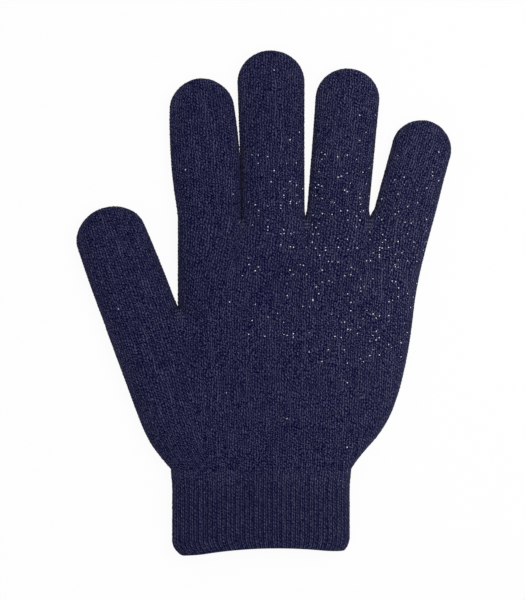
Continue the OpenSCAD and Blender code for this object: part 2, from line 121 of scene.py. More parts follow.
# Navy yarn: brushed acrylic, paler on the crests of the stitches, with painted shade in the hollows
# between them.
# The fabric carries a map of its stitches, counted in wales and courses, which places the two legs
# of each stitch.
yarn_group = bpy.data.node_groups.new("brushed_yarn", "ShaderNodeTree")
# The hollow colour is painted shade, the dark that falls between the stitches
for socket_name, way, kind in (
    ("Shaded Hollow Colour", "INPUT", "NodeSocketColor"),
    ("Crest Colour", "INPUT", "NodeSocketColor"),
    ("Rib", "INPUT", "NodeSocketFloat"),
    ("Pale Specks", "INPUT", "NodeSocketFloat"),
    ("Colour", "OUTPUT", "NodeSocketColor"),
    ("Height", "OUTPUT", "NodeSocketFloat"),
):
    yarn_group.interface.new_socket(socket_name, in_out=way, socket_type=kind)
group_in = yarn_group.nodes.new("NodeGroupInput")
group_out = yarn_group.nodes.new("NodeGroupOutput")
rib_share = group_in.outputs["Rib"]
object_place = yarn_group.nodes.new("ShaderNodeTexCoord").outputs["Object"]


def group_node(kind, sockets, **settings):
    """A node of the yarn group with its settings, and a value or a link on each given socket."""
    node = yarn_group.nodes.new(kind)
    for setting, value in settings.items():
        setattr(node, setting, value)
    for socket, value in sockets.items():
        if isinstance(value, bpy.types.NodeSocket):
            yarn_group.links.new(value, node.inputs[socket])
        else:
            node.inputs[socket].default_value = value
    return node


def group_math(operation, *values):
    node = group_node("ShaderNodeMath", dict(enumerate(values)), operation=operation)
    return node.outputs["Value"]


def plus(first, second):
    return group_math("ADD", first, second)


def minus(first, second):
    return group_math("SUBTRACT", first, second)


def times(first, second):
    return group_math("MULTIPLY", first, second)


def held_between(value, low, high):
    return group_math("MINIMUM", group_math("MAXIMUM", value, low), high)


def group_vector(x, y):
    return group_node("ShaderNodeCombineXYZ", {"X": x, "Y": y}).outputs["Vector"]


def group_scale(vector, scale):
    sockets = {"Vector": vector, "Scale": scale}
    return group_node("ShaderNodeVectorMath", sockets, operation="SCALE").outputs["Vector"]


def group_mix(factor, first, second):
    sockets = {"Factor": factor, "A": first, "B": second}
    return group_node("ShaderNodeMix", sockets, data_type="RGBA").outputs["Result"]


def group_noise(vector, scale, detail):
    sockets = {"Vector": vector, "Scale": scale, "Detail": detail}
    return group_node("ShaderNodeTexNoise", sockets).outputs["Fac"]


def group_chance(x, y):
    sockets = {"Vector": group_vector(x, y)}
    return group_node("ShaderNodeTexWhiteNoise", sockets, noise_dimensions="2D").outputs["Value"]


# Where a leg starts in its wale, its width, its lean in courses to a wale, and how evenly its
# loops run on
NEAR_LEG = (0.0, 0.52, 1.7, 0.15)
FAR_LEG = (0.52, 0.48, 1.0, 0.42)
LEG_ROUND = 2.0
LEAST_STITCH = 0.5
RIB_GAP = 0.14
stitch_map = group_node("ShaderNodeUVMap", {}, uv_map="stitches")
map_parts = group_node("ShaderNodeSeparateXYZ", {"Vector": stitch_map.outputs["UV"]})
wale_count = map_parts.outputs["X"]
course_count = map_parts.outputs["Y"]
wale_number = group_math("FLOOR", wale_count)
leg_share = minus(1, times(rib_share, RIB_GAP))
in_wale = group_math("DIVIDE", group_math("FRACT", wale_count), leg_share)
in_wale = group_math("MINIMUM", in_wale, 1)
second_rib = times(group_math("FRACT", times(wale_number, 0.5)), 2)


def group_leg(start, width, lean, evenness):
    """Crest of one leg of each stitch, and the distance along it in courses."""
    across = held_between(times(minus(in_wale, start), 1 / width), 0, 1)
    round_over = group_math("POWER", group_math("SINE", times(across, math.pi)), LEG_ROUND)
    along = plus(course_count, times(in_wale, lean))
    wave = group_math("COSINE", times(along, 2 * math.pi))
    gap_depth = times(minus(1, evenness), 0.5)
    loop = minus(1, times(gap_depth, minus(1, wave)))
    stitch_number = group_math("FLOOR", plus(along, 0.5))
    size = group_chance(plus(wale_number, start), stitch_number)
    size = plus(times(size, 1 - LEAST_STITCH), LEAST_STITCH)
    size = group_math("MAXIMUM", size, evenness)
    return times(times(round_over, loop), size), along


# Here and there the far legs of a wale stand higher and lie in one line over some courses.
# In the ribs this is rarer, and the far legs of every second rib are sunk. LINE_CHANGE is how fast
# the lines change from wale to wale and from course to course.
LINE_CHANGE = (7.3, 0.07)
LINE_STRENGTH = 2.0
LEAST_LINE = 0.05
MOST_LINE = 0.9
LINE_RISE = 0.18
OFF_LINE_HEIGHT = 0.7
RIB_STEADINESS = 0.7
RIB_STEP = 0.32
line_place = group_vector(times(wale_number, LINE_CHANGE[0]), times(course_count, LINE_CHANGE[1]))
line_chance = times(minus(group_noise(line_place, 1, 1), 0.5), LINE_STRENGTH)
off_rib = minus(1, times(rib_share, RIB_STEADINESS))
line_share = held_between(plus(times(line_chance, off_rib), FAR_LEG[3]), LEAST_LINE, MOST_LINE)
near_crest, along_near = group_leg(*NEAR_LEG)
far_crest = group_leg(*FAR_LEG[:3], line_share)[0]
far_fade = times(times(second_rib, rib_share), RIB_STEP)
far_height = plus(times(line_share, LINE_RISE), OFF_LINE_HEIGHT)
# The crest sets the bump and the colour: where it is low, the painted shade of the hollows shows
crest = group_math("MAXIMUM", near_crest, times(far_crest, minus(far_height, far_fade)))

# Fibres run along the yarn, fuzz breaks up its crests, and the dye is a little uneven
FIBRE_CHANGE = (3, 1.7)
FUZZ_SCALE = 2300
FUZZ_MIDDLE = 0.54
DYE_SCALE = 38
RAGGEDNESS = 1.6
RIB_NEATNESS = 0.6
LEAST_SHADE = 0.5
FIBRE_SHADE = 0.5
FUZZ_SHADE = 0.4
DYE_SHADE = 0.06
FIBRE_HEIGHT = 0.3
FUZZ_HEIGHT = 0.3
fibre_place = group_vector(times(wale_count, FIBRE_CHANGE[0]), times(along_near, FIBRE_CHANGE[1]))
fibres = group_noise(fibre_place, 1, 2)
fuzz = group_noise(object_place, FUZZ_SCALE, 0)
uneven_dye = group_noise(object_place, DYE_SCALE, 3)
ragged = times(minus(fuzz, FUZZ_MIDDLE), minus(RAGGEDNESS, times(rib_share, RIB_NEATNESS)))
ragged_crest = group_math("MAXIMUM", plus(crest, ragged), 0)
painted_hollow_shade = group_in.outputs["Shaded Hollow Colour"]
crest_colour = group_in.outputs["Crest Colour"]
# Colour from the painted shade in the hollows to the yarn's paler colour on the crests
yarn_and_hollow_shade = group_mix(ragged_crest, painted_hollow_shade, crest_colour)
shade = plus(times(fibres, FIBRE_SHADE), times(fuzz, FUZZ_SHADE))
shade = plus(plus(shade, times(uneven_dye, DYE_SHADE)), LEAST_SHADE)
shaded = group_scale(yarn_and_hollow_shade, shade)
height = plus(plus(times(fibres, FIBRE_HEIGHT), times(fuzz, FUZZ_HEIGHT)), crest)
yarn_group.links.new(height, group_out.inputs["Height"])

# Painted light from the right: towards the little finger's side the yarn is painted a little paler and
# greyer
LIT_SIDE_TINT = (0.3, 0.3, 0.14)
lit_side_x = group_node("ShaderNodeSeparateXYZ", {"Vector": object_place}).outputs["X"]
lit_side_range = {"Value": lit_side_x, "From Min": -0.004, "From Max": 0.06}
lit_side_share = group_node("ShaderNodeMapRange", lit_side_range).outputs["Result"]
lit_side_parts = {0: shaded, 1: group_scale(LIT_SIDE_TINT, lit_side_share), 2: shaded}
lit_side_colour = group_node("ShaderNodeVectorMath", lit_side_parts, operation="MULTIPLY_ADD").outputs["Vector"]

# Pale specks, most of them on the upper palm below the ring finger
PALE_SPECK_COLOUR = (0.97, 0.97, 1.0, 1)
SPECK_MIDDLE = (0.036, 0.025, 0.013)
SPECK_SCALE = 730
SPECK_RADIUS = 0.17
SPECK_DULLNESS = 0.25
specks = group_node("ShaderNodeTexVoronoi", {"Vector": object_place, "Scale": SPECK_SCALE})
speck_choice = group_node("ShaderNodeSeparateColor", {"Color": specks.outputs["Color"]})
speck_places = {0: object_place, 1: SPECK_MIDDLE}
from_middle = group_node("ShaderNodeVectorMath", speck_places, operation="DISTANCE").outputs["Value"]
speck_area = {
    "Value": from_middle,
    "From Min": 0.012,
    "From Max": 0.062,
    "To Min": 0.32,
    "To Max": 0.004,
}
speck_share = group_node("ShaderNodeMapRange", speck_area).outputs["Result"]
speck_on = group_math("LESS_THAN", speck_choice.outputs["Red"], speck_share)
speck_dot = group_math("LESS_THAN", specks.outputs["Distance"], SPECK_RADIUS)
speck_bright = plus(times(speck_choice.outputs["Green"], SPECK_DULLNESS), 1 - SPECK_DULLNESS)
pale_speck_share = times(times(times(speck_on, speck_dot), group_in.outputs["Pale Specks"]), speck_bright)
yarn_group.links.new(group_mix(pale_speck_share, lit_side_colour, PALE_SPECK_COLOUR), group_out.inputs["Colour"])


def yarn_finish(name, hollow, crest, speck_amount, roughness):
    """Material of one yarn: the group's colour with its painted hollow shade, on a rough, slightly
    fuzzy surface.
    """
    finish = bpy.data.materials.new(name)
    finish.use_nodes = True
    nodes = finish.node_tree.nodes
    links = finish.node_tree.links
    yarn = nodes.new("ShaderNodeGroup")
    yarn.node_tree = yarn_group
    yarn.inputs["Shaded Hollow Colour"].default_value = (*hollow, 1)
    yarn.inputs["Crest Colour"].default_value = (*crest, 1)
    yarn.inputs["Pale Specks"].default_value = speck_amount
    ribbed = nodes.new("ShaderNodeAttribute")
    ribbed.attribute_name = "rib"
    links.new(ribbed.outputs["Fac"], yarn.inputs["Rib"])
    bump = nodes.new("ShaderNodeBump")
    bump.inputs["Strength"].default_value = 0.5
    bump.inputs["Distance"].default_value = 0.00022
    links.new(yarn.outputs["Height"], bump.inputs["Height"])
    surface = nodes["Principled BSDF"]
    surface.inputs["Roughness"].default_value = roughness
    surface.inputs["Specular IOR Level"].default_value = 0.03
    surface.inputs["Sheen Weight"].default_value = 0.09
    surface.inputs["Sheen Roughness"].default_value = 0.5
    surface.inputs["Sheen Tint"].default_value = (0.5, 0.5, 0.8, 1)
    links.new(yarn.outputs["Colour"], surface.inputs["Base Color"])
    links.new(bump.outputs["Normal"], surface.inputs["Normal"])
    return finish


knit_finish = yarn_finish(
    "navy_knit", hollow=(0.0008, 0.0012, 0.0262), crest=(0.087, 0.087, 0.166), speck_amount=1, roughness=0.9
)

# Finger stalls: seamless tubes of plain knit with rounded tips, knitted first and joined to the
# palm course by course. Each is cut between its bends.
MM_IN_METRE = 1000
KNIT_WALL = 1.2
SIDE_HEIGHT = 5.0
BELLY_PRESS = 0.25
CROWN_POWER = 2.3
BELLY_POWER = 4.0
LEAST_HOLLOW = 0.35
THUMB_SIDE = 35.9
KNUCKLE_LENGTH = 109.6
KNUCKLE_LOFT = 12.2
TIP_LOFT = 10.8
TIP_ROUNDNESS = 0.96
# The lining of a tip ends where this share of the width is left, and the stalls part over this run
LINED_WIDTH = 0.35
GAP_RUN = 4.0
FIRST_BEND = 0.36
SECOND_BEND = 0.66
# A bend spreads over a share of the section that it folds, up to a most
MOST_KNUCKLE_RUN = 11.0
KNUCKLE_SHARE = 0.62
MOST_BEND_REACH = 6.0
BEND_SHARE = 0.42
FINGER_WALES = 16
FINGER_COURSE = 1.4
WALE_COLUMNS = 6
COURSE_ROWS = 4
LINING_STEP = 6
CURVE_SAMPLES = 400
FACE_SAMPLES = 2000
FAR_HEIGHT = 0.8
STITCH_DEPTH = 0.28
STITCH_LIFT = 0.2
RIB_DEPTH = 0.2
SLACK_RISE = 3.0
# Waves that shift the stitches, each as its height, its turn to a course and to a wale, and its
# start. Those of loose fabric are given in the same way, with turns to a millimetre across and along.
ASIDE_WAVES = ((0.08, 0.9, 2.1, 0), (0.07, 0.37, -1.3, 2), (0.05, 2.9, 3.7, 0))
AHEAD_WAVES = ((0.2, 0.45, 1.9, 0), (0.16, 1.1, -2.7, 1))
SLACK_ACROSS = ((0.11, 0.19, 0, 0.6),)
SLACK_ALONG = ((1, 0, 0.13, 1.1),)
SLACK_RIPPLE = ((0.07, 0.31, -0.23, 0),)
# The hand is drawn in millimetres from the wrist line, just above the middle of the cuff's box
WRIST_GAP = 0.15
cuff_low, cuff_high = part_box("ribbed_cuff")
cuff_middle = (cuff_low.x + cuff_high.x) / 2
wrist_place = np.array([cuff_middle * MM_IN_METRE, cuff_high.y * MM_IN_METRE + WRIST_GAP, 0])


def heading(angle):
    """Direction in the plane of the table, turned from +Y towards +X by an angle in degrees."""
    return np.array([math.sin(math.radians(angle)), math.cos(math.radians(angle))])


def ease(share):
    """A share held between 0 and 1 and eased at both ends."""
    held = np.clip(share, 0, 1)
    return held * held * (3 - 2 * held)


def lerp(a, b, share):
    return a + (b - a) * share


def fullness(distance, reach, power):
    """How full the fabric stands at a distance from a fold that rounds over the distance reach."""
    short = np.clip(1 - distance / reach, 0, 1)
    return (1 - short**power) ** (1 / power)


def even_across(half, loft, reach, shares):
    """Places from -1 to 1 of the half width, for shares of the way along a crowned face."""
    across = np.cos(np.linspace(math.pi, 0, FACE_SAMPLES))
    height = (loft - SIDE_HEIGHT) * fullness(half * (1 - np.abs(across)), reach, CROWN_POWER)
    run = np.concatenate([[0], np.cumsum(np.hypot(half * np.diff(across), np.diff(height)))])
    return np.interp(shares, run / run[-1], across)


def chance(wale, course):
    """A fixed random number from 0 to 1 for each stitch: the far digits of a sine."""
    return np.modf(np.abs(np.sin(wale * 12.9898 + course * 78.233) * 43758.5453))[0]


def leg_crest(wale, course, rib, start, width, lean, evenness):
    """Crest of one leg of each stitch, 0 to 1, much as the yarn's own pattern draws it."""
    column = np.floor(wale)
    in_wale = np.minimum(1, (wale - column) / (1 - RIB_GAP * rib))
    across = np.clip((in_wale - start) / width, 0, 1)
    round_over = np.maximum(0, np.sin(math.pi * across)) ** LEG_ROUND
    along = course + lean * in_wale
    loop = 1 - (1 - evenness) / 2 * (1 - np.cos(2 * math.pi * along))
    return round_over * loop * lerp(LEAST_STITCH, 1, chance(column + start, np.floor(along + 0.5)))


def wave_sum(waves, first, second):
    return sum(high * np.sin(a * first + b * second + start) for high, a, b, start in waves)


def uneven_tension(wale, course, rib):
    """Stitches that wander a little from their places, less in the ribs, with their share of rib."""
    aside = wave_sum(ASIDE_WAVES, course, wale) * (1 - RIB_STEADINESS * rib)
    ahead = wave_sum(AHEAD_WAVES, course, wale)
    return np.stack(np.broadcast_arrays(wale + aside, course + ahead, rib), axis=2)


def slack(points):
    """Shallow waves of fabric that lies loose, by place, in millimetres."""
    place = points[..., 0], points[..., 1]
    swell = wave_sum(SLACK_ACROSS, *place) * wave_sum(SLACK_ALONG, *place)
    return swell + wave_sum(SLACK_RIPPLE, *place)


def outward(points):
    """Unit normals of a closed tube given as rings of points."""
    round_it = np.roll(points, -1, 1) - np.roll(points, 1, 1)
    along_it = np.gradient(points, axis=0)
    normal = np.cross(round_it, along_it)
    return normal / np.maximum(np.linalg.norm(normal, axis=2, keepdims=True), 1e-9)


def vertex_places(mesh):
    places = np.empty(len(mesh.vertices) * 3)
    mesh.vertices.foreach_get("co", places)
    return places.reshape(-1, 3)


def map_stitches(mesh, places):
    """Lays the stitch map on a mesh, from the wale and course at each of its vertices."""
    corner = np.empty(len(mesh.loops), dtype=np.int32)
    mesh.loops.foreach_get("vertex_index", corner)
    mesh.uv_layers.new(name="stitches").uv.foreach_set("vector", places[corner].ravel())


def fabric_tube(name, outer, inner, stitches, finish, tip_shut=False):
    """One closed shell from rings of points in millimetres: the outer face, then the lining back
    to the start. The stitches give the wale, the course and the share of rib on the outer face."""
    rings = np.concatenate([outer, inner[::-1], outer[:1]])
    rings = np.concatenate([rings, rings[:, :1]], axis=1)
    rows, columns = rings.shape[0], rings.shape[1]
    # A flat grid, one unit wide, with as many rows and columns is moved on to the rings
    shell = bmesh.new()
    bmesh.ops.create_grid(shell, x_segments=columns - 1, y_segments=rows - 1, size=0.5)
    mesh = bpy.data.meshes.new(name)
    shell.to_mesh(mesh)
    grid = vertex_places(mesh)
    column = np.rint((grid[:, 0] + 0.5) * (columns - 1)).astype(int)
    row = np.rint((grid[:, 1] + 0.5) * (rows - 1)).astype(int)
    mesh.vertices.foreach_set("co", ((rings[row, column] + wrist_place) / MM_IN_METRE).ravel())

    # The rings at both ends of the two faces are numbered, because the edges along them stay sharp
    rim = np.zeros(rows, dtype=np.int32)
    rim[[0, -1]] = 1
    rim[len(outer) - 1] = 0 if tip_shut else 2
    rim[len(outer)] = 0 if tip_shut else 3
    rim[-2] = 4
    mesh.attributes.new("rim", "INT", "POINT").data.foreach_set("value", rim[row])

    lined = np.rint(np.linspace(len(outer) - 1, 0, len(inner))).astype(int)
    all_stitches = np.concatenate([stitches, stitches[lined], stitches[:1]])
    seam = 2 * all_stitches[:, -1:] - all_stitches[:, -2:-1]
    all_stitches = np.concatenate([all_stitches, seam], axis=1)[row, column]
    mesh.attributes.new("rib", "FLOAT", "POINT").data.foreach_set("value", all_stitches[:, 2])
    map_stitches(mesh, all_stitches[:, :2])

    shell.clear()
    shell.from_mesh(mesh)
    bmesh.ops.remove_doubles(shell, verts=shell.verts, dist=2e-7)
    bmesh.ops.delete(shell, geom=[e for e in shell.edges if not e.link_faces], context="EDGES")
    on_rim = shell.verts.layers.int["rim"]
    for edge in shell.edges:
        first, second = edge.verts
        edge.smooth = first[on_rim] == 0 or first[on_rim] != second[on_rim]
    for face in shell.faces:
        face.smooth = True
    shell.to_mesh(mesh)
    shell.free()
    mesh.attributes.remove(mesh.attributes["rim"])
    mesh.materials.append(finish)
    piece = bpy.data.objects.new(name, mesh)
    scene.collection.objects.link(piece)
    return piece


def stitch_lift(stitches):
    """How far the fabric stands off its even face: stitches stand up, and rib gaps are sunk."""
    wale, course, rib = np.moveaxis(stitches, 2, 0)
    near = leg_crest(wale, course, rib, *NEAR_LEG)
    far = FAR_HEIGHT * leg_crest(wale, course, rib, *FAR_LEG)
    in_gap = wale - np.floor(wale) > 1 - RIB_GAP * rib
    return STITCH_LIFT - STITCH_DEPTH * (1 - np.maximum(near, far)) - RIB_DEPTH * rib * in_gap


def knit_face(points, wale, course, rib=0.0):
    """Rings with their stitches, pressed flat on the table, their normals, and the stitches as
    they come to lie."""
    stitches = uneven_tension(wale, course, rib)
    normal = outward(points)
    waves = slack(points) * ease((points[..., 2] - SIDE_HEIGHT) / SLACK_RISE)
    lift = waves + stitch_lift(stitches)
    face = points + normal * lift[..., None]
    face[..., 2] = np.maximum(face[..., 2], 0)
    return face, normal, stitches


def lining_of(points, normal, wall):
    """Rings on the inside of the fabric, on their own side of the fold along the glove's sides."""
    inner = points - normal * wall
    height = points[..., 2] - SIDE_HEIGHT
    side = np.sign(height)
    hollow = np.maximum(side * (inner[..., 2] - SIDE_HEIGHT), LEAST_HOLLOW * np.abs(height))
    inner[..., 2] = SIDE_HEIGHT + side * hollow
    return inner


def lining_rows(first, last, step):
    """Rows of the outer face that the lining keeps: every few of them, and the last."""
    return np.unique(np.append(np.arange(first, last, step), last))


def stall_rings(stall):
    """Rings round a stall from its mouth to its tip, with the distance along it, the share of its
    width left by the dome, and the stitch places."""
    length, tip = stall["length"], stall["tip_width"]
    dome = stall["roundness"] * tip / 2
    shoulder = length - dome
    turn = np.linspace(0, math.pi / 2, CURVE_SAMPLES)
    dome_rise = (TIP_LOFT - SIDE_HEIGHT) * np.sqrt(np.abs(np.cos(turn)))
    dome_side = np.stack([dome * np.sin(turn), dome_rise])
    dome_run = np.concatenate([[0], np.cumsum(np.linalg.norm(np.diff(dome_side), axis=0))])
    courses = round((shoulder + dome_run[-1]) / FINGER_COURSE)
    run = np.linspace(0, shoulder + dome_run[-1], courses * COURSE_ROWS + 1)
    angle = np.interp(run - shoulder, dome_run, turn)
    left = np.cos(angle)
    left[-1] = 0
    distance = np.where(run < shoulder, run, shoulder + dome * np.sin(angle))
    share = distance / length

    wales = stall["wales"]
    half_columns = wales * WALE_COLUMNS
    column = np.arange(2 * half_columns)
    front = column <= half_columns
    across_share = np.where(front, column, 2 * half_columns - column) / half_columns
    half_mouth = stall["mouth"] / 2
    across = even_across(half_mouth, stall["loft"], half_mouth, across_share)
    left_gap, right_gap = stall["gaps"]
    parted = ease(distance / GAP_RUN)
    # The width follows a parabola through those at the mouth, half way and at the tip
    half = (stall["mouth"] - left_gap - right_gap) * (1 - share) * (1 - 2 * share)
    half = half + 4 * stall["width"] * share * (1 - share) + tip * share * (2 * share - 1)
    half = (half + (left_gap + right_gap) * (1 - parted)) / 2
    aside = (left_gap - right_gap) / 2 * parted * (1 - share) ** 2
    lean = heading(stall["lean"])
    square_on = np.array([lean[1], -lean[0]])
    turned = np.minimum(1, share / FIRST_BEND)[:, None]
    side_way = lerp(np.array(stall["mouth_way"]), square_on, turned)
    side_way = side_way / np.linalg.norm(side_way, axis=1, keepdims=True)
    middle = np.array(stall["root"]) + lean * distance[:, None] + side_way * aside[:, None]
    flat = middle[:, None] + side_way[:, None] * (half * left)[:, None, None] * across[:, None]
    edge = 1 - np.abs(across)
    swell = np.sqrt(left)[:, None]
    top = lerp(stall["loft"], TIP_LOFT, share)[:, None]
    upper = SIDE_HEIGHT + (top - SIDE_HEIGHT) * fullness(edge, 1, CROWN_POWER) * swell
    pressed = np.minimum(SIDE_HEIGHT, (SIDE_HEIGHT + BELLY_PRESS) * fullness(edge, 1, BELLY_POWER))
    height = np.where(front, upper, SIDE_HEIGHT - pressed * swell)
    points = np.concatenate([flat, height[..., None]], axis=2)

    wale = column / WALE_COLUMNS
    face_middle = np.where(front, 0.5 * wales, 1.5 * wales)
    wale = face_middle + (wale - face_middle) * left[:, None]
    return points, distance, left, wale, run[:, None] / run[-1] * courses


def stall_pieces(stall, cuts, names):
    """Pieces of a stall between its cuts, from the mouth to the closed tip."""
    points, distance, left, wale, course = stall_rings(stall)
    face, normal, stitches = knit_face(points, wale, course)
    lean = heading(stall["lean"])
    end = np.append(np.array(stall["root"]) + lean * stall["length"], SIDE_HEIGHT)
    face[-1] = end
    lining = lining_of(points, normal, KNIT_WALL)
    stops = [0] + [int(np.argmin(np.abs(distance - cut))) for cut in cuts] + [len(distance) - 1]
    pieces = []
    for name, start, stop in zip(names, stops, stops[1:]):
        is_tip = stop == len(distance) - 1
        last_lined = int(np.max(np.nonzero(left > LINED_WIDTH))) if is_tip else stop
        inner = lining[lining_rows(start, last_lined, LINING_STEP)]
        if is_tip:
            pole = end - np.append(lean * 2 * KNIT_WALL, 0)
            inner = np.concatenate([inner, np.broadcast_to(pole, (1, *inner.shape[1:]))])
        rows = slice(start, stop + 1)
        pieces.append(fabric_tube(name, face[rows], inner, stitches[rows], knit_finish, is_tip))
    return pieces


def bend_round(piece):
    """Bakes the piece's placement into its mesh."""
    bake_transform(piece)


# Length, width at the mouth, half way and at the tip, lean, and gap to the left and the right
FINGERS = {
    "index": (60.6, 27.6, 30.0, 25.1, -4.05, 0.25, 0.1),
    "middle": (72.6, 28.0, 28.4, 29.9, -1.0, 0.1, 0.35),
    "ring": (64.9, 28.1, 27.3, 28.2, 4.7, 0.4, 0.75),
    "little": (43.3, 28.0, 25.8, 26.5, 15.8, 1.1, 0.0),
}
crotches = [-THUMB_SIDE]
for finger, (length, mouth, width, tip_width, lean, left_gap, right_gap) in FINGERS.items():
    stall = {
        "root": (crotches[-1] + mouth / 2, KNUCKLE_LENGTH),
        "lean": lean,
        "length": length,
        "mouth": mouth,
        "width": width,
        "tip_width": tip_width,
        "gaps": (left_gap, right_gap),
        "mouth_way": (1.0, 0.0),
        "loft": KNUCKLE_LOFT,
        "roundness": TIP_ROUNDNESS,
        "wales": FINGER_WALES,
    }
    crotches.append(crotches[-1] + mouth)
    first_fold = FIRST_BEND * length
    second_fold = SECOND_BEND * length
    knuckle_run = min(MOST_KNUCKLE_RUN, KNUCKLE_SHARE * first_fold)
    reach = min(MOST_BEND_REACH, BEND_SHARE * (second_fold - first_fold))
    cuts = [(knuckle_run + first_fold - reach) / 2, (first_fold + second_fold) / 2]
    names = [f"{finger}_stall_base", f"{finger}_stall_middle", f"{finger}_stall_tip"]
    base, middle, tip = stall_pieces(stall, cuts, names)
    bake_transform(base)
    bend_round(middle)
    bend_round(tip)
    for piece, section in ((base, "base"), (middle, "middle"), (tip, "tip")):
        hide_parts(f"{finger}_finger_{section}")

# Upper palm: the four-finger tube of plain knit between the thumb's crotch and the finger crotches.
# It takes in each stall on thirteen wales, and dips between two fingers where they part.
THUMB_CROTCH_LENGTH = 70.6
LITTLE_SIDE = 67.0
LITTLE_EDGE_ANGLE = 6.5
PALM_LOFT = 13.8
PALM_ROUND = 15.0
SOFT_DIP = 0.45
FINGER_DIPS = (0.5, 0.92)
KNUCKLE_WALES = 13
PALM_WALES = 4 * KNUCKLE_WALES
UPPER_COURSES = 25
PALM_LINING_STEP = 10


def bezier(points, share):
    """Places on a cubic curve, for a column of shares."""
    first, second, third, fourth = (np.array(p) for p in points)
    rest = 1 - share
    near = first * rest**3 + 3 * second * rest**2 * share
    return near + 3 * third * rest * share**2 + fourth * share**3


def gap_to(places, column):
    """Distance of each place in a row from the row's place at a column."""
    return np.linalg.norm(places - places[:, column : column + 1], axis=2)


def dip_depth(rise, soft_start, steep_start):
    """Depth of the dip below a crotch: it starts softly, and is whole where the stalls part."""
    soft = ease((rise - soft_start) / (1 - soft_start))
    steep = ease((rise - steep_start) / (1 - steep_start))
    return SOFT_DIP * soft + (1 - SOFT_DIP) * steep


def row_fullness(places, reach, dips, depth, power):
    """How full each place of a row stands: it falls off at both ends and dips at given columns."""
    last = places.shape[1] - 1
    ends = fullness(gap_to(places, 0), reach, power) * fullness(gap_to(places, last), reach, power)
    kept = np.ones_like(ends)
    for dip in dips:
        gap = gap_to(places, dip)
        dip_shape = lerp(ease(gap / reach), fullness(gap, reach, power), depth**2)
        kept = np.minimum(kept, 1 - depth * (1 - dip_shape))
    return ends * kept


def hand_rings(places, upper, lower):
    """Rings from a row of places and the heights of its two faces: the front, then the back on the
    way home. Both faces hold the folds at the sides, so that the wales of each can end there."""
    front = np.concatenate([places, upper[..., None]], axis=2)
    back = np.concatenate([places, lower[..., None]], axis=2)
    front[:, [0, -1], 2] = SIDE_HEIGHT
    back[:, [0, -1], 2] = SIDE_HEIGHT
    return np.concatenate([front, back[:, ::-1]], axis=1)


def both_faces(front, back, total):
    """Wale count round the rings: on over the front, and on over the back to a total."""
    return np.concatenate([front, total - back[:, ::-1]], axis=1)


def belly_height(full):
    return SIDE_HEIGHT - np.minimum(SIDE_HEIGHT, (SIDE_HEIGHT + BELLY_PRESS) * full)


mouths = np.diff(crotches)
knuckle_width = crotches[-1] - crotches[0]
little_level = np.array([LITTLE_SIDE, THUMB_CROTCH_LENGTH])
knuckle_corner = np.array([crotches[-1], KNUCKLE_LENGTH])
upper_run = (KNUCKLE_LENGTH - THUMB_CROTCH_LENGTH) / 3
upper_edge = [
    little_level,
    little_level + heading(LITTLE_EDGE_ANGLE) * upper_run,
    knuckle_corner - heading(FINGERS["little"][4]) * upper_run,
    knuckle_corner,
]
finger_columns = KNUCKLE_WALES * WALE_COLUMNS
palm_columns = PALM_WALES * WALE_COLUMNS
crotch_columns = [finger_columns, 2 * finger_columns, 3 * finger_columns]
palm_half = (LITTLE_SIDE + THUMB_SIDE) / 2
palm_shares = np.linspace(0, 1, palm_columns + 1)
even_palm = (1 + even_across(palm_half, PALM_LOFT, PALM_ROUND, palm_shares)) / 2
finger_shares = np.linspace(0, 1, finger_columns + 1)[:-1]
knuckle_places = [
    start + mouth * (1 + even_across(mouth / 2, KNUCKLE_LOFT, mouth / 2, finger_shares)) / 2
    for start, mouth in zip(crotches, mouths)
]
knuckle_places = np.append(np.concatenate(knuckle_places), crotches[-1])
knuckle_shares = (knuckle_places - crotches[0]) / knuckle_width
finger_halves = np.append(np.repeat(mouths / 2, finger_columns), mouths[-1] / 2)


def upper_palm_rings(rise):
    """Rings of the upper palm for a column of shares from the thumb's crotch to the knuckle line."""
    y = lerp(THUMB_CROTCH_LENGTH, KNUCKLE_LENGTH, rise)
    right = bezier(upper_edge, rise)[:, :1]
    shares = lerp(even_palm, knuckle_shares, ease(rise))
    x = lerp(-THUMB_SIDE, right, shares)
    places = np.stack([x, np.broadcast_to(y, x.shape)], axis=2)
    reach = lerp(PALM_ROUND, finger_halves, ease(rise))
    depth = dip_depth(rise, *FINGER_DIPS)
    top = lerp(PALM_LOFT, KNUCKLE_LOFT, ease(rise))
    crown = row_fullness(places, reach, crotch_columns, depth, CROWN_POWER)
    belly = row_fullness(places, reach, crotch_columns, depth, BELLY_POWER)
    return hand_rings(places, SIDE_HEIGHT + (top - SIDE_HEIGHT) * crown, belly_height(belly))


def hand_piece(name, points, normal, face, stitches, rows):
    """One piece of the hand from a run of its rows."""
    lined = lining_rows(rows.start, rows.stop - 1, PALM_LINING_STEP)
    inner = lining_of(points[lined], normal[lined], KNIT_WALL)
    return fabric_tube(name, face[rows], inner, stitches[rows], knit_finish)


upper_rise = np.linspace(0, 1, UPPER_COURSES * COURSE_ROWS + 1)[:, None]
upper_points = upper_palm_rings(upper_rise)
across_palm = np.arange(palm_columns + 1)[None] / WALE_COLUMNS
upper_wale = both_faces(across_palm, across_palm, 2 * PALM_WALES)
upper_course = upper_rise * UPPER_COURSES
upper_face, upper_normal, upper_stitches = knit_face(upper_points, upper_wale, upper_course)
upper_rows = slice(0, len(upper_rise))
upper_palm = hand_piece(
    "upper_palm_knit", upper_points, upper_normal, upper_face, upper_stitches, upper_rows
)
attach(upper_palm, "palm")
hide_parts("upper_palm")

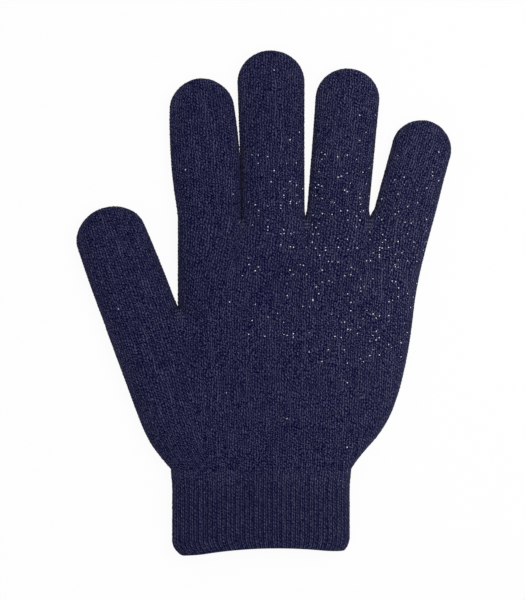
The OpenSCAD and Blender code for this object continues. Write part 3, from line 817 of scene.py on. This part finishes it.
# Thumb stall: a wider tube of the same plain knit, which leans away from the palm. It is knitted
# apart and taken in with the palm at the thumb's crotch, and is cut between its two bends.
THUMB_WALES = 18
THUMB_MOUTH = 32.7
THUMB_LEAN = 20.8
THUMB_LENGTH = 51.8
THUMB_CUT = 14.5
thumb_crotch = np.array([-THUMB_SIDE, THUMB_CROTCH_LENGTH])
thumb_across = np.array([math.cos(math.radians(THUMB_LEAN)), math.sin(math.radians(THUMB_LEAN))])
thumb_stall = {
    "root": tuple(thumb_crotch - thumb_across * THUMB_MOUTH / 2),
    "lean": -THUMB_LEAN,
    "length": THUMB_LENGTH,
    "mouth": THUMB_MOUTH,
    "width": 31.8,
    "tip_width": 29.3,
    "gaps": (0.25, 0.25),
    "mouth_way": tuple(thumb_across),
    "loft": PALM_LOFT,
    "roundness": 0.84,
    "wales": THUMB_WALES,
}
thumb_names = ["thumb_stall_base", "thumb_stall_tip"]
thumb_base, thumb_tip = stall_pieces(thumb_stall, [THUMB_CUT], thumb_names)
bend_round(thumb_base)
bend_round(thumb_tip)
for piece, node in ((thumb_base, "thumb_base"), (thumb_tip, "thumb_tip")):
    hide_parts(node)

# Lower palm: the five-finger tube with the ball of the thumb, from the thumb's crotch to the wrist.
# The palm's wales run straight down and those of the thumb lean in to them, so wales run out at the
# sides and where the two meet, and the rest go on as the ribs of the cuff.
WRIST_WIDTH = 78.5
WRIST_MIDDLE = 0.3
WRIST_LOFT = 12.4
CUFF_ROUND = 9.0
RIB_PITCH = 1.98
WRIST_RIB = 0.3
UPRIGHT_PLACE = 15.6
LOWER_COURSES = 45
THUMB_DIP = (0.65, 0.95)
# Angle and length of the two side curves' handles at the wrist, and their length at the top
THUMB_WRIST_HANDLE = (-41.4, 20)
THUMB_TOP_HANDLE = 48
LITTLE_WRIST_HANDLE = (31, 19)
LITTLE_TOP_HANDLE = 59
# Shares of the way up over which the cuff's form and ribs go over into the palm's, and how much
# faster than the way up the loft rises
ROUND_RUN = 0.3
BELLY_RUN = 0.25
RIB_RUN = 0.12
LOFT_SPEED = 1.3
thumb_columns = THUMB_WALES * WALE_COLUMNS
hand_columns = palm_columns + thumb_columns
thumb_outer = thumb_crotch - thumb_across * THUMB_MOUTH
wrist_left = np.array([WRIST_MIDDLE - WRIST_WIDTH / 2, 0])
wrist_right = np.array([WRIST_MIDDLE + WRIST_WIDTH / 2, 0])
wrist_divide = lerp(wrist_left, wrist_right, THUMB_MOUTH / (THUMB_MOUTH + knuckle_width))
thumb_side_edge = [
    wrist_left,
    wrist_left + heading(THUMB_WRIST_HANDLE[0]) * THUMB_WRIST_HANDLE[1],
    thumb_outer - heading(-THUMB_LEAN) * THUMB_TOP_HANDLE,
    thumb_outer,
]
little_side_edge = [
    wrist_right,
    wrist_right + heading(LITTLE_WRIST_HANDLE[0]) * LITTLE_WRIST_HANDLE[1],
    little_level - heading(LITTLE_EDGE_ANGLE) * LITTLE_TOP_HANDLE,
    little_level,
]
wrist_shares = np.linspace(0, 1, hand_columns + 1)
even_wrist = even_across(WRIST_WIDTH / 2, WRIST_LOFT, CUFF_ROUND, wrist_shares)
thumb_half = THUMB_MOUTH / 2
thumb_shares = np.linspace(0, 1, thumb_columns + 1)[:-1]
even_thumb = even_across(thumb_half, PALM_LOFT, thumb_half, thumb_shares)


def even_climb(points, rise):
    """Places on a cubic curve that climb evenly with a column of shares."""
    drawn = bezier(points, np.linspace(0, 1, CURVE_SAMPLES)[:, None])
    climb = drawn[:, 1] / drawn[-1, 1]
    return np.stack([np.interp(rise[:, 0], climb, drawn[:, 0]), rise[:, 0] * drawn[-1, 1]], axis=1)


def lower_palm_rings(rise):
    """Rings of the lower palm for a column of shares from the wrist line to the thumb's crotch.
    Each face has the line between the thumb and the palm twice, because their wales differ there."""
    left = even_climb(thumb_side_edge, rise)[:, None]
    right = even_climb(little_side_edge, rise)[:, None]
    divide = lerp(wrist_divide, thumb_crotch, rise)[:, None]
    straight = lerp(left, right, (1 + even_wrist[:, None]) / 2)
    thumb_part = lerp(left, divide, (1 + even_thumb[:, None]) / 2)
    finger_part = lerp(divide, right, even_palm[:, None])
    parted = np.concatenate([thumb_part, finger_part], axis=1)
    places = lerp(straight, parted, ease(rise)[..., None])
    part_reach = np.where(np.arange(hand_columns + 1) < thumb_columns, thumb_half, PALM_ROUND)
    reach = lerp(CUFF_ROUND, part_reach, ease(rise / ROUND_RUN))
    depth = dip_depth(rise, *THUMB_DIP)
    top = lerp(WRIST_LOFT, PALM_LOFT, ease(LOFT_SPEED * rise))
    crown = row_fullness(places, reach, [thumb_columns], depth, CROWN_POWER)
    belly = row_fullness(places, reach, [thumb_columns], depth, BELLY_POWER)
    upper = SIDE_HEIGHT + (top - SIDE_HEIGHT) * crown
    lower = lerp(SIDE_HEIGHT * (1 - crown), belly_height(belly), ease(rise / BELLY_RUN))
    twice = np.insert(np.arange(hand_columns + 1), thumb_columns, thumb_columns)
    return hand_rings(places[:, twice], upper[:, twice], lower[:, twice])


def run_across(face):
    """Distance along each row of a face from the row's first place."""
    steps = np.linalg.norm(np.diff(face, axis=1), axis=2)
    return np.concatenate([np.zeros((len(face), 1)), np.cumsum(steps, axis=1)], axis=1)


def lower_palm_wales(face, rise):
    """Wale counts over one face: along the thumb on its part, and upright on the palm's part."""
    thumb_run = run_across(face[:, : thumb_columns + 1])
    thumb_ribs = round(thumb_run[0, -1] / RIB_PITCH)
    thumb_pitch = lerp(thumb_run[0, -1] / thumb_ribs, thumb_run[-1, -1] / THUMB_WALES, rise)
    palm_face = face[:, thumb_columns + 1 :]
    palm_run = run_across(palm_face)
    upright = [[np.interp(UPRIGHT_PLACE, row[:, 0], run)] for row, run in zip(palm_face, palm_run)]
    upright = np.array(upright)
    top_pitch = palm_run[-1, -1] / PALM_WALES
    upright_wale = upright[-1, 0] / top_pitch
    first_rib = round(upright_wale - upright[0, 0] / RIB_PITCH)
    wrist_pitch = upright[0, 0] / (upright_wale - first_rib)
    palm_wale = upright_wale + (palm_run - upright) / lerp(wrist_pitch, top_pitch, rise)
    return np.concatenate([thumb_run / thumb_pitch, palm_wale], axis=1)


def rib_wales(face_wales):
    """Wale count along the wrist line of one face, with no step between the thumb and the palm."""
    thumb_wales, palm_wales = np.split(face_wales[:1], [thumb_columns + 1], axis=1)
    palm_wales = thumb_wales[:, -1:] + palm_wales[:, 1:] - palm_wales[:, :1]
    return np.concatenate([thumb_wales, palm_wales], axis=1)


lower_rise = np.linspace(0, 1, LOWER_COURSES * COURSE_ROWS + 1)[:, None]
lower_points = lower_palm_rings(lower_rise)
lower_rib = WRIST_RIB * (1 - ease(lower_rise / RIB_RUN))
front_points, back_points = np.split(lower_points, 2, axis=1)
front_wales = lower_palm_wales(front_points, lower_rise)
back_wales = lower_palm_wales(back_points[:, ::-1], lower_rise)
rib_total = round(rib_wales(front_wales)[0, -1] + rib_wales(back_wales)[0, -1])
lower_face, lower_normal, lower_stitches = knit_face(
    lower_points, both_faces(front_wales, back_wales, rib_total), lower_rise * LOWER_COURSES, lower_rib
)
half_way = LOWER_COURSES // 2 * COURSE_ROWS
for name, rows in (
    ("lower_palm_heel_knit", slice(0, half_way + 1)),
    ("lower_palm_thumb_knit", slice(half_way, len(lower_rise))),
):
    piece = hand_piece(name, lower_points, lower_normal, lower_face, lower_stitches, rows)
    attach(piece, "palm")
    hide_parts("lower_palm")

# Ribbed cuff: one-and-one rib with elastic, knitted on at the wrist line, so that its ribs grow out
# of the palm's wales. Its edge rises between two corners, and the corner on the thumb's side hangs
# a little lower.
CUFF_LENGTH = 38.8
CUFF_WIDTH = 77.3
CUFF_CORNER = 3.7
CUFF_SWAY = 1.0
CUFF_WALL = 2.6
HEM_ARCH = 3.7
HEM_SLANT = 2.4
HEM_START = 0.8
EDGE_LENGTH = 2.4
WRIST_TAPER = 0.2
RIB_GROWTH = 0.35
CUFF_COURSES = 21
CUFF_COURSE_ROWS = 3
edge_share = 1 - EDGE_LENGTH / CUFF_LENGTH
rib_finish = yarn_finish(
    "navy_rib", hollow=(0.003, 0.0035, 0.0295), crest=(0.095, 0.095, 0.175), speck_amount=0, roughness=0.9
)


def cuff_rings(share):
    """Rings round the cuff for a column of shares of its length."""
    near_hem = (np.maximum(0, share - HEM_START) / (1 - HEM_START)) ** 2
    half = lerp(WRIST_WIDTH, CUFF_WIDTH, ease(share / WRIST_TAPER)) / 2 - CUFF_CORNER * near_hem
    x = half * even_wrist
    full = fullness(half - np.abs(x), CUFF_ROUND, CROWN_POWER)
    across = 2 * x / CUFF_WIDTH
    fall = CUFF_LENGTH - HEM_ARCH * np.maximum(0, 1 - across**2) - HEM_SLANT * (1 + across) / 2
    places = np.stack([WRIST_MIDDLE + CUFF_SWAY * near_hem + x, -share * fall], axis=2)
    upper = SIDE_HEIGHT + (WRIST_LOFT - SIDE_HEIGHT) * full
    return hand_rings(places, upper, SIDE_HEIGHT * (1 - full))


cuff_share = np.linspace(0, edge_share, CUFF_COURSES * CUFF_COURSE_ROWS + 1)[:, None]
cuff_points = cuff_rings(cuff_share)[::-1]
cuff_course = -cuff_share[::-1] / edge_share * CUFF_COURSES
cuff_rib = lerp(WRIST_RIB, 1, ease(cuff_share[::-1] / RIB_GROWTH))
cuff_wale = both_faces(rib_wales(front_wales), rib_wales(back_wales), rib_total)
cuff_face, cuff_normal, cuff_stitches = knit_face(cuff_points, cuff_wale, cuff_course, cuff_rib)
cuff_lined = lining_rows(0, len(cuff_share) - 1, LINING_STEP)
cuff_inner = lining_of(cuff_points[cuff_lined], cuff_normal[cuff_lined], CUFF_WALL)
cuff = fabric_tube("ribbed_cuff_knit", cuff_face, cuff_inner, cuff_stitches, rib_finish)
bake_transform(cuff)
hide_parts("ribbed_cuff")

# Bound edge: the last courses of the cuff, turned over to the inside as a round lip and bound off
# in the same yarn. The ribs run out on it.
LIP_RADIUS = CUFF_WALL / 2
LIP_ROWS = 9
FLAT_ROWS = 3
EDGE_ROWS = 5
BINDING_COURSES = 4
binding_finish = yarn_finish(
    "navy_binding", hollow=(0.003, 0.0035, 0.0295), crest=(0.092, 0.092, 0.168), speck_amount=0, roughness=0.92
)
lip_turn = np.linspace(0, math.pi, LIP_ROWS)
lip_share = 1 - LIP_RADIUS / CUFF_LENGTH * (1 - np.sin(lip_turn))
lip_depth = LIP_RADIUS * (1 - np.cos(lip_turn))
flat_share = np.linspace(edge_share, lip_share[0], FLAT_ROWS + 1)[:-1]
binding_share = np.concatenate([flat_share, lip_share])[:, None]
binding_depth = np.concatenate([np.zeros(FLAT_ROWS), lip_depth])[:, None]
binding_points = cuff_rings(binding_share)
edge_points = cuff_rings(np.linspace(edge_share, 1, EDGE_ROWS)[:, None])[::-1]
binding_normal = outward(edge_points)[EDGE_ROWS // 2]
binding_course = -CUFF_COURSES - np.linspace(0, BINDING_COURSES, len(binding_share))[:, None]
binding_stitches = uneven_tension(cuff_wale, binding_course, 1.0)
fade = 1 - ease(binding_depth / LIP_RADIUS)
binding_lift = stitch_lift(binding_stitches) * fade - binding_depth
binding_face = binding_points + binding_normal * binding_lift[..., None]
binding_face[..., 2] = np.maximum(binding_face[..., 2], 0)
binding_start = lining_of(binding_points[:1], binding_normal[None], CUFF_WALL)
binding = fabric_tube(
    "cuff_edge_lip", binding_face[::-1], binding_start, binding_stitches[::-1], binding_finish
)
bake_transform(binding)
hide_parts("cuff_edge_binding")

# Elastic threads: five covered rubber rings laid round the inside of the cuff, which draw it in.
# They are held by the floats of the rib and lie just inside its lining.
ELASTIC_COUNT = 5
ELASTIC_RADIUS = 0.3
ELASTIC_GAP = 0.1
# The rows this share of the cuff's length to each side of a ring give its normals
BESIDE_SHARE = 0.01
elastic_finish = yarn_finish(
    "covered_elastic", hollow=(0.004, 0.004, 0.012), crest=(0.02, 0.02, 0.045), speck_amount=0, roughness=0.7
)


def yarn_strand(name, paths, radius, roundness, joined, finish):
    """Round strands along paths of points in millimetres, as one mesh."""
    curve = bpy.data.curves.new(name, "CURVE")
    curve.dimensions = "3D"
    curve.bevel_depth = radius / MM_IN_METRE
    curve.bevel_resolution = roundness
    curve.use_fill_caps = not joined
    for path in paths:
        spline = curve.splines.new("POLY")
        spline.points.add(len(path) - 1)
        placed = np.concatenate([(path + wrist_place) / MM_IN_METRE, np.ones((len(path), 1))], axis=1)
        spline.points.foreach_set("co", placed.ravel())
        spline.use_cyclic_u = joined
    drawn = bpy.data.objects.new(name, curve)
    scene.collection.objects.link(drawn)
    shaped = drawn.evaluated_get(bpy.context.evaluated_depsgraph_get())
    mesh = bpy.data.meshes.new_from_object(shaped)
    bpy.data.objects.remove(drawn)
    bpy.data.curves.remove(curve)
    mesh.name = name
    mesh.shade_smooth()
    plies = MM_IN_METRE * vertex_places(mesh)[:, 0]
    map_stitches(mesh, np.stack([np.full(len(plies), NEAR_LEG[1] / 2), plies], axis=1))
    mesh.materials.append(finish)
    strand = bpy.data.objects.new(name, mesh)
    scene.collection.objects.link(strand)
    return strand


elastic_depth = CUFF_WALL + ELASTIC_GAP + ELASTIC_RADIUS
elastic_paths = []
for share in edge_share * np.arange(1, ELASTIC_COUNT + 1) / (ELASTIC_COUNT + 1):
    nearby = cuff_rings(np.array([[share + BESIDE_SHARE], [share], [share - BESIDE_SHARE]]))
    elastic_paths.append(lining_of(nearby, outward(nearby), elastic_depth)[1, ::WALE_COLUMNS])
elastic = yarn_strand(
    "cuff_elastic_rings", elastic_paths, ELASTIC_RADIUS, roundness=1, joined=True, finish=elastic_finish
)
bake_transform(elastic)
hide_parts("cuff_elastic_threads")

# Crotch stitches: three strands of the glove's own yarn sewn over each crotch, which close the
# holes left there. They lie in the dip of the fabric, with their ends drawn into it.
STRAND_COUNT = 3
STITCH_RADIUS = 0.4
STITCH_REACH = 2.0
STITCH_PITCH = 1.5
STITCH_RISE = 0.35
STITCH_SINK = 1.5
SEARCH_COLUMNS = 60
stitch_finish = yarn_finish(
    "crotch_yarn", hollow=(0.008, 0.008, 0.03), crest=(0.1, 0.1, 0.19), speck_amount=0, roughness=0.9
)


def crotch_paths(rings, rows_apart, column):
    """Paths over a crotch: they follow the fabric's rows on the upper face, a little sunk into it."""
    paths = []
    for strand in range(1, STRAND_COUNT + 1):
        row = rings[-1 - round(strand * rows_apart)]
        beside = np.linalg.norm(row[:, :2] - row[column, :2], axis=1)
        searched = range(column - SEARCH_COLUMNS, column + SEARCH_COLUMNS + 1)
        near = [k for k in searched if beside[k] <= STITCH_REACH]
        path = row[near]
        path[:, 2] += STITCH_RADIUS * (STITCH_RISE - STITCH_SINK * (beside[near] / STITCH_REACH) ** 2)
        paths.append(path)
    return paths


upper_row_gap = (KNUCKLE_LENGTH - THUMB_CROTCH_LENGTH) / (len(upper_rise) - 1)
lower_row_gap = np.linalg.norm(thumb_crotch - wrist_divide) / (len(lower_rise) - 1)
lower_single = np.delete(lower_face, thumb_columns, axis=1)
for node, rings, row_gap, column in (
    ("index_middle_crotch_stitches", upper_face, upper_row_gap, crotch_columns[0]),
    ("middle_ring_crotch_stitches", upper_face, upper_row_gap, crotch_columns[1]),
    ("ring_little_crotch_stitches", upper_face, upper_row_gap, crotch_columns[2]),
    ("thumb_crotch_stitches", lower_single, lower_row_gap, thumb_columns),
):
    name = node.replace("stitches", "yarn")
    paths = crotch_paths(rings, STITCH_PITCH / row_gap, column)
    strands = yarn_strand(
        name, paths, STITCH_RADIUS, roundness=2, joined=False, finish=stitch_finish
    )
    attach(strands, "palm")
    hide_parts(node)
